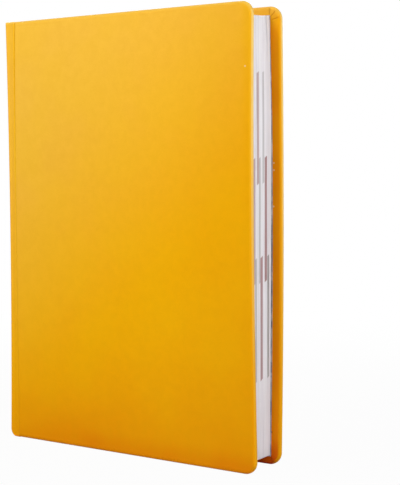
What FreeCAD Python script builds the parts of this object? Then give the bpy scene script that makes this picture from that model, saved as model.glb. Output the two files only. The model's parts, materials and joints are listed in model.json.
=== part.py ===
import FreeCAD, Part
import Sketcher
import math
import os

# A case-bound A5 notepad standing on its tail. +X runs from the spine to the fore edge,
# the front cover faces -Y and +Z runs up to the head. The origin is the middle of the
# base of the whole book's box. The covers are parallel at their hinges. Towards the fore
# edge each one stands out a little from the leaves and is bowed from tail to head.

DIMENSIONS = {
    "cover_height": 215.0,      # tail to head
    "cover_depth": 150.5,       # spine to fore edge
    "book_thick": 24.4,         # over both covers, at the hinges
    "crease": 6.3,              # spine corner to hinge crease
    "hinge_gap": 0.25,          # between cover and spine leatherette, along the crease
    "skin": 0.6,                # leatherette
    "board": 2.0,
    "paper": 0.2,               # endpapers
    "turn_in": 14.0,            # leatherette folded over the inside of the boards
    "edge_round": 1.3,          # covers' edges
    "corner_round": 6.0,        # covers' fore-edge corners, seen from the front
    "front_gape": 3.66,         # the most that the front cover's fore edge stands out
    "front_gape_tail": 0.0,     # the same edge at the tail
    "front_peak": 159.0,        # height at which it stands out most
    "back_gape": 2.2,
    "back_gape_tail": 0.65,
    "back_peak": 107.5,
    "spine_dip": 1.3,           # how far the spine is drawn in at mid height
    "spine_round": 1.0,         # spine's long corners
    "spine_foot_round": 4.0,    # spine's tail corner, seen from the front
    "inlay": 1.2,               # card strip inside the spine
    "fore_square": 4.6,         # cover beyond the leaves at the fore edge
    "end_square": 4.1,          # cover beyond the leaves at head and tail
    "block_set": 4.2,           # spine corner to the sewn edge of the leaves
    "block_clear": 0.15,        # flyleaf to pastedown at the hinges
    "lining": 0.3,
    "band_strip": 0.5,          # headband's glued strip
    "band_length": 10.0,
    "band_bead": 1.6,           # diameter of the headband's bead
}

PAST = 20.0                     # how far cutting shapes reach past what they cut
LONG = 100.0                    # depth of a cut that goes right through the book

doc = FreeCAD.newDocument("notepad")
sheet = doc.addObject("Spreadsheet::Sheet", "dims")
for row, (alias, value) in enumerate(DIMENSIONS.items(), start=1):
    sheet.set("A%d" % row, alias)
    sheet.set("B%d" % row, str(value))
    sheet.setAlias("B%d" % row, alias)
doc.recompute()


class Size:
    """A length and the sheet expression that it comes from."""

    def __init__(self, value, text):
        self.value = value
        self.text = text

    def __add__(self, other):
        other = size(other)
        return Size(self.value + other.value, "(%s + %s)" % (self.text, other.text))

    def __sub__(self, other):
        other = size(other)
        return Size(self.value - other.value, "(%s - %s)" % (self.text, other.text))

    def __mul__(self, other):
        other = size(other)
        return Size(self.value * other.value, "(%s * %s)" % (self.text, other.text))

    def __truediv__(self, other):
        other = size(other)
        return Size(self.value / other.value, "(%s / %s)" % (self.text, other.text))

    def __neg__(self):
        return Size(0.0, "0") - self

    def root(self):
        return Size(math.sqrt(self.value), "sqrt(%s)" % self.text)


def size(value):
    """A Size from a plain number or from a Size."""
    if isinstance(value, Size):
        return value
    return Size(float(value), "(%s)" % value)


def dim(alias):
    """A driving dimension of the sheet."""
    return Size(float(sheet.get(alias)), "dims." + alias)


HEIGHT = dim("cover_height")
SPINE_X = -dim("cover_depth") / 2
FORE_X = dim("cover_depth") / 2
HINGE_X = SPINE_X + dim("crease")
MIDDLE_Y = (dim("front_gape") - dim("back_gape")) / 2
COVER = dim("board") + dim("skin") * 2
LEAVES = dim("book_thick") - (COVER + dim("paper") + dim("block_clear")) * 2


# ---- sketches ----

def add_sketch(body, name, plane, offset=None):
    """A sketch on one of a body's own origin planes, moved along the plane's normal."""
    sketch = body.newObject("Sketcher::SketchObject", body.Name + "_" + name)
    support = [item for item in body.Origin.OriginFeatures if item.Role == plane][0]
    sketch.AttachmentSupport = [(support, "")]
    sketch.MapMode = "FlatFace"
    if offset is not None:
        sketch.setExpression("AttachmentOffset.Base.z", offset.text)
    return sketch


def bind(sketch, constraint, expression):
    index = sketch.addConstraint(constraint)
    sketch.setExpression("Constraints[%d]" % index, expression.text)


def arc_through(start, end, radius, bulge):
    """An arc between two points that bulges to the right (1) or left (-1) of its run."""
    chord = end - start
    half = chord.Length / 2
    rise = radius - math.sqrt(radius * radius - half * half)
    across = FreeCAD.Vector(chord.y, -chord.x, 0).normalize() * (bulge * rise)
    return Part.Arc(start, (start + end) / 2 + across, end)


def draw_loop(sketch, corners, arcs=None):
    """A closed outline through corners; arcs maps a side's number to (radius, bulge)."""
    arcs = arcs or {}
    count = len(corners)
    ends = []
    for side in range(count):
        start = FreeCAD.Vector(corners[side][0].value, corners[side][1].value, 0)
        following = corners[(side + 1) % count]
        end = FreeCAD.Vector(following[0].value, following[1].value, 0)
        if side in arcs:
            radius, bulge = arcs[side]
            geometry = sketch.addGeometry(arc_through(start, end, radius.value, bulge))
            bind(sketch, Sketcher.Constraint("Radius", geometry, radius.value), radius)
            first = sketch.getPoint(geometry, 1)
            runs_forward = first.distanceToPoint(start) < first.distanceToPoint(end)
            ends.append((geometry, 1, 2) if runs_forward else (geometry, 2, 1))
        else:
            ends.append((sketch.addGeometry(Part.LineSegment(start, end)), 1, 2))
    for side in range(count):
        geometry, start, end = ends[side]
        following = ends[(side + 1) % count]
        joined = Sketcher.Constraint("Coincident", geometry, end, following[0], following[1])
        sketch.addConstraint(joined)
        across, along = corners[side]
        bind(sketch, Sketcher.Constraint("DistanceX", geometry, start, across.value), across)
        bind(sketch, Sketcher.Constraint("DistanceY", geometry, start, along.value), along)


def rectangle(low, high):
    """Corners of a rectangle from its low and high corner."""
    return [low, (high[0], low[1]), high, (low[0], high[1])]


# ---- features ----

def add_body(name):
    body = doc.addObject("PartDesign::Body", name)
    body.Label = name
    return body


def extrude(body, kind, sketch, length, name):
    """A Pad or Pocket that reaches equally to both sides of its sketch."""
    feature = body.newObject("PartDesign::" + kind, body.Name + "_" + name)
    feature.Profile = sketch
    feature.Midplane = True
    feature.setExpression("Length", size(length).text)
    body.Tip = feature
    doc.recompute()
    return feature


def fillet(body, radius, wanted, name):
    """Round the edges of a body's last feature that a test picks."""
    base = body.Tip
    edges = ["Edge%d" % number for number, edge in enumerate(base.Shape.Edges, start=1)
             if wanted(edge)]
    feature = body.newObject("PartDesign::Fillet", body.Name + "_" + name)
    feature.Base = (base, edges)
    feature.setExpression("Radius", radius.text)
    body.Tip = feature
    doc.recompute()


def cut(name, base, tools):
    """A sub-part: a base with tools taken out of it."""
    tool = tools[0]
    if len(tools) > 1:
        tool = doc.addObject("Part::MultiFuse", name + "_tools")
        tool.Shapes = tools
    result = doc.addObject("Part::Cut", name)
    result.Label = name
    result.Base = base
    result.Tool = tool
    doc.recompute()
    return result


# ---- covers ----

class Side:
    """One cover: its name, and the way it faces, -1 at the front and 1 at the back."""

    def __init__(self, name, facing):
        self.name = name
        self.facing = facing
        peak = dim(name + "_peak")
        rise = dim(name + "_gape") - dim(name + "_gape_tail")
        self.peak = peak
        self.bow = (peak * peak + rise * rise) / (rise * 2)

    def face(self, depth):
        """The y of the flat at a depth under the outer face, at the hinge."""
        return MIDDLE_Y + (dim("book_thick") / 2 - depth) * self.facing

    def gape(self, height):
        """How far the fore edge stands out at a height."""
        off_peak = height - self.peak
        return dim(self.name + "_gape") - self.bow + (self.bow * self.bow - off_peak * off_peak).root()


SIDES = [Side("front", -1), Side("back", 1)]


def cover_slab(side, piece, outer, inner, fore_x, margin, corner=None):
    """A layer of a cover between two depths, trimmed to an outline seen from the front."""
    body = add_body(side.name + "_" + piece)
    low = size(0)
    near = side.face(outer)
    far = side.face(inner)
    hinge = add_sketch(body, "hinge", "YZ_Plane", HINGE_X)
    draw_loop(hinge, [(near, low), (near, HEIGHT), (far, HEIGHT), (far, low)])
    fore = add_sketch(body, "fore", "YZ_Plane", FORE_X)
    tail_out = side.gape(low) * side.facing
    head_out = side.gape(HEIGHT) * side.facing
    corners = [(near + tail_out, low), (near + head_out, HEIGHT),
               (far + head_out, HEIGHT), (far + tail_out, low)]
    draw_loop(fore, corners, {0: (side.bow, side.facing), 2: (side.bow, -side.facing)})
    loft = body.newObject("PartDesign::AdditiveLoft", body.Name + "_loft")
    loft.Profile = hinge
    loft.Sections = [fore]
    loft.Ruled = True
    body.Tip = loft
    doc.recompute()
    trim = add_sketch(body, "outline", "XZ_Plane")
    draw_loop(trim, rectangle((HINGE_X - PAST * 2, -size(PAST)), (FORE_X + PAST, HEIGHT + PAST)))
    low_x = HINGE_X - PAST
    top = HEIGHT - margin
    if corner is None:
        draw_loop(trim, rectangle((low_x, margin), (fore_x, top)))
    else:
        corners = [(low_x, margin), (fore_x - corner, margin), (fore_x, margin + corner),
                   (fore_x, top - corner), (fore_x - corner, top), (low_x, top)]
        draw_loop(trim, corners, {1: (corner, 1), 3: (corner, 1)})
    extrude(body, "Pocket", trim, LONG, "trim")
    return body


def is_rim(edge):
    """An edge round a cover's outline: neither across its thickness nor on its hinge end."""
    start = edge.Vertexes[0].Point
    end = edge.Vertexes[-1].Point
    across = abs(end.y - start.y) > edge.Length / 2
    at_hinge = max(start.x, end.x) < HINGE_X.value + 0.001
    return not across and not at_hinge


def make_cover(side):
    """Leatherette wrapped round a board, with the endpaper's half pasted inside."""
    skin = dim("skin")
    inside = skin + dim("board")
    paper = dim("paper")
    turn_in = dim("turn_in")
    outside = cover_slab(side, "shape", size(0), COVER, FORE_X, size(0), dim("corner_round"))
    fillet(outside, dim("edge_round"), is_rim, "rim")
    board = cover_slab(side, "board", skin, inside, FORE_X - skin, skin,
                       dim("corner_round") - skin)
    window = cover_slab(side, "window", inside, COVER, FORE_X - turn_in, turn_in)
    leatherette = cut(side.name + "_leatherette", outside, [board, window])

    over_fold = cover_slab(side, "paper_rim", COVER, COVER + paper,
                           FORE_X - dim("fore_square"), dim("end_square"))
    on_board = cover_slab(side, "paper_middle", inside, COVER + paper,
                          FORE_X - turn_in, turn_in)
    sheet_shape = doc.addObject("Part::MultiFuse", side.name + "_paper_shape")
    sheet_shape.Shapes = [over_fold, on_board]
    hollow = cover_slab(side, "paper_hollow", inside + paper, COVER + paper * 2,
                        FORE_X - turn_in - paper, turn_in + paper)
    pastedown = cut(side.name + "_pastedown", sheet_shape, [hollow])
    return [leatherette, board, pastedown]


# ---- spine ----

SPINE_BOW = (HEIGHT * HEIGHT / 4 + dim("spine_dip") * dim("spine_dip")) / (dim("spine_dip") * 2)


def spine_at(depth, height):
    """The x of the spine's surface, or of a layer under it, at a height."""
    off_middle = height - HEIGHT / 2
    sagitta = SPINE_BOW - (SPINE_BOW * SPINE_BOW - off_middle * off_middle).root()
    return SPINE_X + depth + dim("spine_dip") - sagitta


def make_spine():
    """The leatherette's spine, with its two flanks up to the creases, and its card inlay."""
    skin = dim("skin")
    turn_in = dim("turn_in")
    foot = dim("spine_foot_round")
    edge_x = HINGE_X - dim("hinge_gap")
    past_x = HINGE_X + PAST
    none = size(0)

    body = add_body("spine_shape")
    profile = add_sketch(body, "profile", "XZ_Plane", -MIDDLE_Y)
    draw_loop(profile, [(SPINE_X + foot, none), (edge_x, none), (edge_x, HEIGHT),
                        (spine_at(none, HEIGHT), HEIGHT), (spine_at(none, foot), foot)],
              {3: (SPINE_BOW, -1), 4: (foot, 1)})
    extrude(body, "Pad", profile, dim("book_thick"), "pad")
    fillet(body, dim("spine_round"), is_spine_corner, "corners")

    between_folds = add_sketch(body, "between_folds", "XZ_Plane", -MIDDLE_Y)
    top = HEIGHT - turn_in
    draw_loop(between_folds, [(spine_at(skin, turn_in), turn_in), (past_x, turn_in),
                              (past_x, top), (spine_at(skin, top), top)],
              {3: (SPINE_BOW, -1)})
    extrude(body, "Pocket", between_folds, dim("book_thick") - skin * 2, "thin_walls")

    through = add_sketch(body, "through", "XZ_Plane", -MIDDLE_Y)
    folded = skin * 2 + dim("inlay")
    end_x = spine_at(folded, none)
    draw_loop(through, [(end_x, -size(PAST)), (past_x, -size(PAST)), (past_x, HEIGHT + PAST),
                        (end_x, HEIGHT + PAST), (end_x, HEIGHT), (end_x, none)],
              {4: (SPINE_BOW, -1)})
    extrude(body, "Pocket", through, dim("book_thick") - skin * 4, "hollow_back")

    inlay = add_body("spine_inlay")
    strip = add_sketch(inlay, "strip", "XZ_Plane", -MIDDLE_Y)
    top = HEIGHT - skin
    under = skin + dim("inlay")
    draw_loop(strip, [(spine_at(skin, foot), foot), (spine_at(under, foot), foot),
                      (spine_at(under, top), top), (spine_at(skin, top), top)],
              {1: (SPINE_BOW, 1), 3: (SPINE_BOW, -1)})
    extrude(inlay, "Pad", strip, dim("book_thick") - skin * 2, "pad")
    return [cut("spine_leatherette", body, [inlay]), inlay]


def is_spine_corner(edge):
    """One of the two long edges down the outside of the spine, or the fold at its foot."""
    ends = [vertex.Point.x for vertex in edge.Vertexes]
    across = edge.BoundBox.YLength > 1
    limit = (SPINE_X + dim("spine_foot_round")).value + 0.001
    return not across and max(ends) < limit


# ---- leaves ----

BLOCK_X = SPINE_X + dim("block_set")
LEAF_X = FORE_X - dim("fore_square")
LEAF_LOW = dim("end_square")
LEAF_HIGH = HEIGHT - dim("end_square")
BLOCK = LEAVES - dim("paper") * 2


def make_block():
    """The sewn leaves: one solid, with a flat back and trimmed edges."""
    block = add_body("page_block")
    outline = add_sketch(block, "outline", "XZ_Plane", -MIDDLE_Y)
    draw_loop(outline, rectangle((BLOCK_X, LEAF_LOW), (LEAF_X, LEAF_HIGH)))
    extrude(block, "Pad", outline, BLOCK, "pad")

    lining = add_body("spine_lining")
    strip = add_sketch(lining, "strip", "XZ_Plane", -MIDDLE_Y)
    draw_loop(strip, rectangle((BLOCK_X - dim("lining"), LEAF_LOW + dim("band_length")),
                               (BLOCK_X, LEAF_HIGH - dim("band_length"))))
    extrude(lining, "Pad", strip, BLOCK, "pad")
    return [block, lining]


def make_flyleaf(side):
    """The endpaper's free half, against the outermost leaf."""
    body = add_body(side.name + "_flyleaf")
    place = MIDDLE_Y + (BLOCK + dim("paper")) / 2 * side.facing
    outline = add_sketch(body, "outline", "XZ_Plane", -place)
    draw_loop(outline, rectangle((BLOCK_X, LEAF_LOW), (LEAF_X, LEAF_HIGH)))
    extrude(body, "Pad", outline, dim("paper"), "pad")
    return body


def make_band(name, leaf_end, outward):
    """A corded band: a strip glued down the back of the leaves, and a bead over their end."""
    body = add_body(name)
    radius = dim("band_bead") / 2
    left = BLOCK_X - dim("band_strip")
    bead_height = leaf_end + radius * outward
    strip_end = leaf_end - dim("band_length") * outward
    strip = add_sketch(body, "strip", "XZ_Plane", -MIDDLE_Y)
    draw_loop(strip, rectangle((left, strip_end), (BLOCK_X, bead_height)))
    extrude(body, "Pad", strip, BLOCK, "strip_pad")
    bead = add_sketch(body, "bead", "XZ_Plane", -MIDDLE_Y)
    centre = FreeCAD.Vector((left + radius).value, bead_height.value, 0)
    circle = bead.addGeometry(Part.Circle(centre, FreeCAD.Vector(0, 0, 1), radius.value))
    bind(bead, Sketcher.Constraint("DistanceX", circle, 3, centre.x), left + radius)
    bind(bead, Sketcher.Constraint("DistanceY", circle, 3, centre.y), bead_height)
    bind(bead, Sketcher.Constraint("Radius", circle, radius.value), radius)
    extrude(body, "Pad", bead, BLOCK, "bead_pad")
    return body


# ---- the book ----

parts = make_spine() + make_block()
for side in SIDES:
    parts += make_cover(side)
    parts.append(make_flyleaf(side))
parts.append(make_band("headband", LEAF_HIGH, 1))
parts.append(make_band("tailband", LEAF_LOW, -1))

doc.recompute()
for item in doc.Objects:
    if "Invalid" in item.State or "Error" in item.State:
        raise RuntimeError("%s did not build: %s" % (item.Name, item.State))
for part in parts:
    if part.Shape.isNull() or not part.Shape.isValid():
        raise RuntimeError("%s has no valid shape" % part.Label)
os.makedirs("parts", exist_ok=True)
for part in parts:
    part.Shape.exportStep(os.path.join("parts", part.Label + ".step"))
    print("%-20s %10.1f mm3  %s" % (part.Label, part.Shape.Volume, part.Shape.BoundBox))
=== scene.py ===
import json
from math import copysign, cos, exp, pi, radians, sin, sqrt
import random

import bpy
from mathutils import Matrix, Vector
from mathutils.kdtree import KDTree


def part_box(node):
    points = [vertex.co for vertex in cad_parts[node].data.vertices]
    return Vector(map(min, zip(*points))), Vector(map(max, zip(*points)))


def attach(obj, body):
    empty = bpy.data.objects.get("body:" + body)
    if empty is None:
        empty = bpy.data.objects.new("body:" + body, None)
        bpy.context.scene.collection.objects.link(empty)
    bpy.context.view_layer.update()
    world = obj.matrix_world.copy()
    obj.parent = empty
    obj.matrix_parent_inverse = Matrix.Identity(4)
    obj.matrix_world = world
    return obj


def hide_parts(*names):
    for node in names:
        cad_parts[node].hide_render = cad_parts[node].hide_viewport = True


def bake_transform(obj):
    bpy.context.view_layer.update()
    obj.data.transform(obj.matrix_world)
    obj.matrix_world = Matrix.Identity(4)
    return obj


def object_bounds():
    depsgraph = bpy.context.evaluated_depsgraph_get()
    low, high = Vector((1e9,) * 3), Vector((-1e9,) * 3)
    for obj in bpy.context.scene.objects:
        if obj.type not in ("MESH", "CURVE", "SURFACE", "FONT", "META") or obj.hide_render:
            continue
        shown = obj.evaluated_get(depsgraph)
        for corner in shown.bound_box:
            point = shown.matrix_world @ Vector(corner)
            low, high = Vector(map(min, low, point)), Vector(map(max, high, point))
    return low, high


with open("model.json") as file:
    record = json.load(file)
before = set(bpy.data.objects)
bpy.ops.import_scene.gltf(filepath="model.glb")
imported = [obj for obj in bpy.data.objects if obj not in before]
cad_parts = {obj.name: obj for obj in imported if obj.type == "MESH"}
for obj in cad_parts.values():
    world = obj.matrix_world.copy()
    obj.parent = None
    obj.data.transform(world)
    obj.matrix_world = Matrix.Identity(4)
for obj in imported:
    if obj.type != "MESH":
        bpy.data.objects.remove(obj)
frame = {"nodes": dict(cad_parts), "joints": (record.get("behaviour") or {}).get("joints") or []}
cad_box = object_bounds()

# The closed book stands on its tail: +X runs from the spine to the fore edge, the front
# cover faces -Y and +Z runs up to the head. All lengths are in metres, in the frame's axes.

MM = 0.001
SKIN = 0.55 * MM  # leatherette
COVER = 3.2 * MM  # board with leatherette on both sides
FLANK = 1.2 * MM  # leatherette turned in on itself beside the spine
SPINE_WALL = 2.4 * MM  # leatherette, card inlay and turn-in
TURN_IN = 14 * MM
CORNER = 6 * MM  # radius of the covers' fore-edge corners
COVER_ROUND = 1.3 * MM
FLANK_ROUND = 0.5 * MM
SPINE_END_ROUND = 0.6 * MM
SPINE_ROUND = 1.0 * MM  # the spine's long corners
SPINE_DIP = 1.3 * MM
FOOT = 4.0 * MM  # the spine's rounded tail corner, seen from the front
FOOT_END = 0.72 * MM  # height at which the back of the spine turns inside
FOOT_WALL = 0.69 * MM
FOOT_ANGLE = radians(35)
FOOT_ROUND = 0.3 * MM
AXIS_STANDOFF = 0.15 * MM  # hinge axis outside the cover's face
FOLD = 0.8 * MM  # leatherette beside the hinge that bends with the cover
BOARD_WRAP = 0.25 * MM  # the case thickens to the board's end over this distance
BOARD_CLEAR = 0.05 * MM
PAPER = 0.2 * MM

low, high = cad_box
HEIGHT = high.z
SPINE_X = low.x
FORE_X = high.x
hinges = {joint["child"]: joint for joint in frame["joints"]}
HINGE_X = hinges["front_cover"]["pos_m"][0]
STRIP_END_X = HINGE_X - FOLD - 0.3 * MM
CREASE_TAIL_X = HINGE_X - 0.65 * MM  # the pressed crease leans a little
CREASE_HEAD_X = HINGE_X + 0.05 * MM
CREASE_LEAN = 4  # power: most of the lean is near the head
CREASE_DEPTHS = (0.14, 0.5)  # mm, at the tail and at the head
CREASE_WIDTHS = (0.42, 0.28)  # mm, likewise
CREASE_SHARPENS = 90 * MM  # the height from which it grows sharper
CREASE_SHARP_OVER = 115 * MM
FLANK_SINK = 0.2 * MM  # the flank is sunk between spine and crease
FLANK_WIDTH = 5.2 * MM
FLANK_START = 0.8 * MM  # beside the spine's corner
SPINE_BOW = (HEIGHT ** 2 / 4 + SPINE_DIP ** 2) / (2 * SPINE_DIP)  # radius of its curve
block_low, block_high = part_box("page_block")


def ease(value):
    """0 below 0, 1 above 1, and smooth between."""
    value = min(1.0, max(0.0, value))
    return value * value * (3 - 2 * value)


def mix(a, b, share):
    """The value that lies this share of the way from a to b."""
    return a + (b - a) * share


def steps(start, end, count):
    """count + 1 evenly spaced values from start to end."""
    return [mix(start, end, i / count) for i in range(count + 1)]


class Side:
    """One cover: which way it faces in Y, and how its fore edge stands out. gape is how far
    that is at the height peak, where it is most, and gape_tail how far at the tail."""

    def __init__(self, name, gape, gape_tail, peak):
        self.name = name
        self.cover = name + "_cover"
        self.facing = -1 if name == "front" else 1
        self.gape = gape
        self.peak = peak
        drop = gape - gape_tail
        self.bow = (peak ** 2 + drop ** 2) / (2 * drop)  # radius of the fore edge's curve
        self.face_y = hinges[self.cover]["pos_m"][1] - self.facing * AXIS_STANDOFF

    def stand_out(self, x, z):
        """How far the cover's face stands out from the flat of its hinge."""
        share = max(0.0, (x - HINGE_X) / (FORE_X - HINGE_X))
        at_fore_edge = self.gape - self.bow + sqrt(self.bow ** 2 - (z - self.peak) ** 2)
        return share * at_fore_edge

    def place(self, x, depth, z):
        """A point in the frame, from its depth under the flat of the cover's hinge."""
        return Vector((x, self.face_y - self.facing * depth, z))


FRONT = Side("front", 3.66 * MM, 0.0, 159 * MM)
BACK = Side("back", 2.2 * MM, 0.65 * MM, 107.5 * MM)
HALF_THICK = (BACK.face_y - FRONT.face_y) / 2
MIDDLE_Y = (BACK.face_y + FRONT.face_y) / 2


# ---- meshes ----

ONE_PLACE = 1e-6  # points nearer than this are joined
SHARP_ANGLE = radians(50)


def closed_sheet(name, upper, under, faces, material, marks=None):
    """A sheet with two sides and a rim. Points of the upper side that coincide are joined.
    marks maps an attribute that the material reads to its value at each point."""
    tree = KDTree(len(upper))
    for number, point in enumerate(upper):
        tree.insert(point, number)
    tree.balance()
    joined = [min(found[1] for found in tree.find_range(point, ONE_PLACE)) for point in upper]
    kept = sorted(set(joined))
    place = {number: i for i, number in enumerate(kept)}
    top_faces = []
    for face in faces:
        corners = []
        for number in face:
            corner = place[joined[number]]
            if corner not in corners:
                corners.append(corner)
        if len(corners) > 2:
            top_faces.append(corners)
    sides = set()
    for corners in top_faces:
        sides.update(zip(corners, corners[1:] + corners[:1]))
    count = len(kept)
    all_faces = top_faces + [[count + i for i in reversed(corners)] for corners in top_faces]
    all_faces += [[b, a, count + a, count + b] for a, b in sorted(sides) if (b, a) not in sides]
    points = [upper[i] for i in kept] + [under[i] for i in kept]
    piece = new_piece(name, points, all_faces, material)
    for mark, by_point in (marks or {}).items():
        values = piece.data.attributes.new(mark, "FLOAT", "POINT")
        values.data.foreach_set("value", [by_point[i] for i in kept] * 2)
    return piece


def new_object(name, data):
    """An object that is in the scene."""
    made = bpy.data.objects.new(name, data)
    bpy.context.scene.collection.objects.link(made)
    return made


def new_piece(name, points, faces, material):
    """A smooth mesh object that also carries every point's place at rest."""
    mesh = bpy.data.meshes.new(name)
    mesh.from_pydata([tuple(point) for point in points], [], faces)
    mesh.validate()
    mesh.shade_smooth()
    mesh.set_sharp_from_angle(angle=SHARP_ANGLE)
    rest = mesh.attributes.new("rest", "FLOAT_VECTOR", "POINT")
    for value, vertex in zip(rest.data, mesh.vertices):
        value.vector = vertex.co
    mesh.materials.append(material)
    return new_object(name, mesh)


def grid_faces(rows, columns, flip, start=0):
    """Quads over points that are numbered row by row, from start."""
    faces = []
    for row in range(rows - 1):
        for column in range(columns - 1):
            a = start + row * columns + column
            face = [a, a + 1, a + columns + 1, a + columns]
            faces.append(face[::-1] if flip else face)
    return faces


# ---- the leatherette case ----
# A station t runs across one half of the case: 0 to 1 over the back of the spine from its
# middle, 1 to 2 round its long corner, 2 to 3 over the flank, 3 to 4 over the fold beside
# the hinge, and 4 to 5 over the cover from its hinge to its fore edge.

STATIONS = (
    steps(0, 1, 6)[:-1] + steps(1, 2, 7)[:-1] + steps(2, 3, 9)[:-1] + steps(3, 4, 12)[:-1]
)
COVER_STARTS = [0, 0.3, 0.7, 1.3, 2.2, 3.6, 6]  # mm from the hinge, before even steps


def spine_x(z):
    """The x of the back of the spine, drawn in at mid height."""
    return SPINE_X + SPINE_DIP - SPINE_BOW + sqrt(SPINE_BOW ** 2 - (z - HEIGHT / 2) ** 2)


def foot_in(z):
    """How far the spine's rounded foot is drawn in at a height."""
    below = max(0.0, FOOT - max(z, FOOT_END))
    return FOOT - sqrt(FOOT ** 2 - below ** 2)


def cover_station(x):
    """The station over the cover at an x."""
    return 4 + (x - HINGE_X) / (FORE_X - HINGE_X)


def crease_depth(x, z):
    """The pressed crease beside the hinge, sharper towards the head, and the sunk flank."""
    sharp = ease((z - CREASE_SHARPENS) / CREASE_SHARP_OVER) ** 1.6
    groove = mix(*CREASE_DEPTHS, sharp) * MM
    width = mix(*CREASE_WIDTHS, sharp) * MM
    leaned = (max(z, 0.0) / HEIGHT) ** CREASE_LEAN
    from_groove = (x - mix(CREASE_TAIL_X, CREASE_HEAD_X, leaned)) / width
    flank = min(1.0, max(0.0, (HINGE_X - x) / FLANK_WIDTH))
    return groove * exp(-from_groove ** 2) + FLANK_SINK * sin(pi * flank)


def outer_point(t, z):
    """(x, depth) of the outside of the case."""
    back = spine_x(z) + foot_in(z)
    if t < 1:
        return back, mix(HALF_THICK, SPINE_ROUND, t)
    if t < 2:
        angle = (t - 1) * pi / 2
        return (back + SPINE_ROUND * (1 - cos(angle)),
                SPINE_ROUND * (1 - sin(angle)))
    if t < 4:
        start = back + SPINE_ROUND
        x = mix(start, STRIP_END_X, t - 2) if t < 3 else mix(STRIP_END_X, HINGE_X, t - 3)
        return x, crease_depth(x, z) * ease((x - start) / FLANK_START)
    x = mix(HINGE_X, FORE_X, t - 4)
    return x, crease_depth(x, z)


def inner_point(t, z):
    """(x, depth) of the inside of the case, where the leatherette is turned in."""
    x, depth = outer_point(t, z)
    if t >= 4:
        return x, COVER
    board_end = ease((x - HINGE_X + BOARD_WRAP) / (BOARD_WRAP - BOARD_CLEAR))
    deep = mix(FLANK, COVER, board_end)
    return max(x, spine_x(z) + SPINE_WALL), max(depth, deep)


def wall(t):
    """Thickness of the case, and the radius of its ends at head and tail."""
    corner = ease(t - 1)
    from_hinge = (t - 4) * (HINGE_X - STRIP_END_X)
    beside_board = ease((from_hinge + BOARD_WRAP) / (BOARD_WRAP - BOARD_CLEAR))
    thick = mix(mix(SPINE_WALL, FLANK, corner), COVER, beside_board)
    radius = mix(mix(SPINE_END_ROUND, FLANK_ROUND, corner), COVER_ROUND, beside_board)
    return thick, radius


def case_point(side, t, z, share, proud=0.0):
    """A point of the case, share of the way through its wall at a station and height."""
    outer_x, outer_depth = outer_point(t, z)
    inner_x, inner_depth = inner_point(t, z)
    x = mix(outer_x, inner_x, share)
    return side.place(x, mix(outer_depth, inner_depth, share) + proud - side.stand_out(x, z), z)


class Edge:
    """A place on the case's outline: how far along it is, and what lies inward of it."""

    def __init__(self, kind, value, head=False):
        self.kind = kind
        self.value = value
        self.head = head

    def at(self, inset):
        """The station and the height above the nearer end, this far in from the outline."""
        limit = FORE_X - max(inset, 0.0)
        if self.kind == "end":
            if self.value < 4:
                return self.value, inset
            x = mix(HINGE_X, FORE_X, self.value - 4)
            return cover_station(min(x, limit) if inset > CORNER else x), inset
        if self.kind == "corner":
            if inset >= CORNER:
                return cover_station(limit), inset
            reach = CORNER - inset
            return (cover_station(FORE_X - CORNER + reach * sin(self.value)),
                    CORNER - reach * cos(self.value))
        height = HEIGHT - self.value if self.head else self.value
        if inset > CORNER:
            height = max(height, inset)
        return cover_station(limit), height


FACE_LEVELS = 8
ARC_LEVELS = 5
CORNER_STEPS = 45
SKIN_SHARE = 0.45  # of the wall, at most
LEAST_ARC = 0.04 * MM
INNER_INSETS = [1.6, 2.1, 2.7, 3.4, 4.2, 5.0, 7.0, 9.5, 12.0, 14.0]  # mm
HEAD_PLEATS = [radians(angle) for angle in (8, 44, 82)]  # round from the board's end
TAIL_PLEATS = [radians(32)]
GROOVE_DEPTH = 0.2 * MM
GROOVE_HALF = 0.26 * MM
LIP_HEIGHT = 0.28 * MM
LIP_RISE = 0.3 * MM  # the lip swells over this, across the pleat
LIP_FADE = 1.6 * MM
PLEAT_START = 0.3 * MM  # a pleat runs from here to there, in from the outline
PLEAT_END = 3.8 * MM
SAG_SLOPE = 0.15  # the last pleat at the head runs down towards the leaves
SAG_SHOWS = 4.2 * MM  # as far in as the turn-in shows
SAG_FADE = 1.6 * MM
SAG_REACH = 14 * MM  # and this far down the fore edge


def foot_share(edge):
    """1 where the end of the case is the rounded foot of the spine, 0 along the flank."""
    if edge.head or edge.kind != "end":
        return 0.0
    return 1 - ease(edge.value - 1)


def lift(edge):
    """How far the flank's tail edge rises round the spine's foot."""
    if edge.head or edge.kind != "end" or edge.value >= 4:
        return 0.0
    x, _ = outer_point(edge.value, FOOT_END)
    from_centre = max(0.0, FOOT - (x - SPINE_X))
    return FOOT - sqrt(FOOT ** 2 - from_centre ** 2)


def crimp(across):
    """The turn-in across a pleat: how deep its fine groove is, and its puffed lip beyond."""
    groove = max(0.0, 1 - abs(across) / GROOVE_HALF)
    lip = ease(across / LIP_RISE) * exp(-across / LIP_FADE) if across > 0 else 0.0
    return groove, lip


def pleat(edge, inset):
    """The groove and the lip of the nearest pleat in a corner's turn-in."""
    reach = max(CORNER - inset, 0.0)
    groove = lip = 0.0
    for angle in HEAD_PLEATS if edge.head else TAIL_PLEATS:
        if edge.kind == "corner":
            across = (edge.value - angle) * reach
        elif edge.kind == "fore":
            from_end = HEIGHT - edge.value if edge.head else edge.value
            across = (pi / 2 - angle) * reach + from_end - CORNER
        else:
            break
        if across > -GROOVE_HALF:
            groove, lip = crimp(across)
    fade_in = ease((inset - PLEAT_START) / (0.6 * MM))
    share = fade_in * (1 - ease((inset - PLEAT_END) / (1.0 * MM)))
    return groove * share, lip * share


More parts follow.
